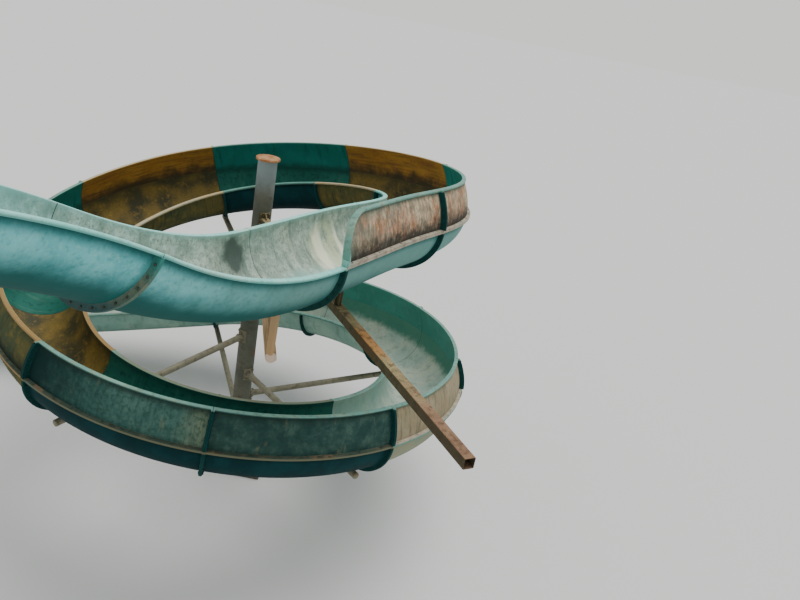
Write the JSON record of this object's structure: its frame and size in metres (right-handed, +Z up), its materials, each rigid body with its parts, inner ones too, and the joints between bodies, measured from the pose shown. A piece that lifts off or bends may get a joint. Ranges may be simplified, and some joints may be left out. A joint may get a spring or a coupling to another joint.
{
  "type": "spiral water slide tower",
  "caption": "Open fibreglass water slide: a descending spiral flume with raised outer panels, carried by radial arms on a central column, with an inlet leg and a run-out.",
  "frame": {"origin": "centre of the underside of the column's base plate, on the ground", "axes": "+Z up along the column; +Y away from the inlet end, along the longest extent; +X to the right when looking along +Y, on the side where the spiral begins"},
  "size_m": [8.2019, 10.314, 5.8593],
  "materials": {
    "aqua_gelcoat": "weathered gelcoat, chalky and streaked",
    "teal_gelcoat": "weathered gelcoat, chalky and streaked",
    "yellow_gelcoat": "faded gelcoat with dark run-off stains",
    "faded_panel": "chalked gelcoat with rust-coloured streaks",
    "painted_steel": "dull grey-brown paint, worn",
    "rusted_steel": "paint rusted through, orange and brown",
    "timber": "bare weathered timber",
    "concrete": "rough cast concrete"
  },
  "bodies": {
    "root": {"flume_section_01": "aqua_gelcoat", "flume_section_02": "aqua_gelcoat", "flume_section_03": "aqua_gelcoat", "flume_section_04": "aqua_gelcoat", "flume_section_05": "yellow_gelcoat", "flume_section_06": "teal_gelcoat", "flume_section_07": "yellow_gelcoat", "flume_section_08": "teal_gelcoat", "flume_section_09": "yellow_gelcoat", "flume_section_10": "teal_gelcoat", "flume_section_11": "teal_gelcoat", "flume_section_12": "teal_gelcoat", "flume_section_13": "teal_gelcoat", "flume_section_14": "teal_gelcoat", "flume_section_15": "teal_gelcoat", "flume_section_16": "teal_gelcoat", "flume_section_17": "teal_gelcoat", "raised_panel_01": "faded_panel", "raised_panel_02": "faded_panel", "raised_panel_03": "yellow_gelcoat", "raised_panel_04": "teal_gelcoat", "raised_panel_05": "yellow_gelcoat", "raised_panel_06": "teal_gelcoat", "raised_panel_07": "yellow_gelcoat", "raised_panel_08": "teal_gelcoat", "raised_panel_09": "teal_gelcoat", "raised_panel_10": "teal_gelcoat", "raised_panel_11": "teal_gelcoat", "raised_panel_12": "teal_gelcoat", "raised_panel_13": "teal_gelcoat", "pipe_arm_1": "painted_steel", "pipe_arm_2": "painted_steel", "pipe_arm_3": "painted_steel", "pipe_arm_4": "painted_steel", "pipe_arm_5": "painted_steel", "pipe_arm_6": "painted_steel", "pipe_arm_7": "painted_steel", "column": "painted_steel", "column_base_plate": "painted_steel", "inlet_crosshead": "painted_steel", "inlet_post_inner": "painted_steel", "inlet_post_outer": "painted_steel", "outrigger_beam": "rusted_steel", "column_cap": "rusted_steel", "log_arm": "timber", "run_out_plinth_upper": "concrete", "run_out_plinth_lower": "concrete"}
  },
  "joints": []
}
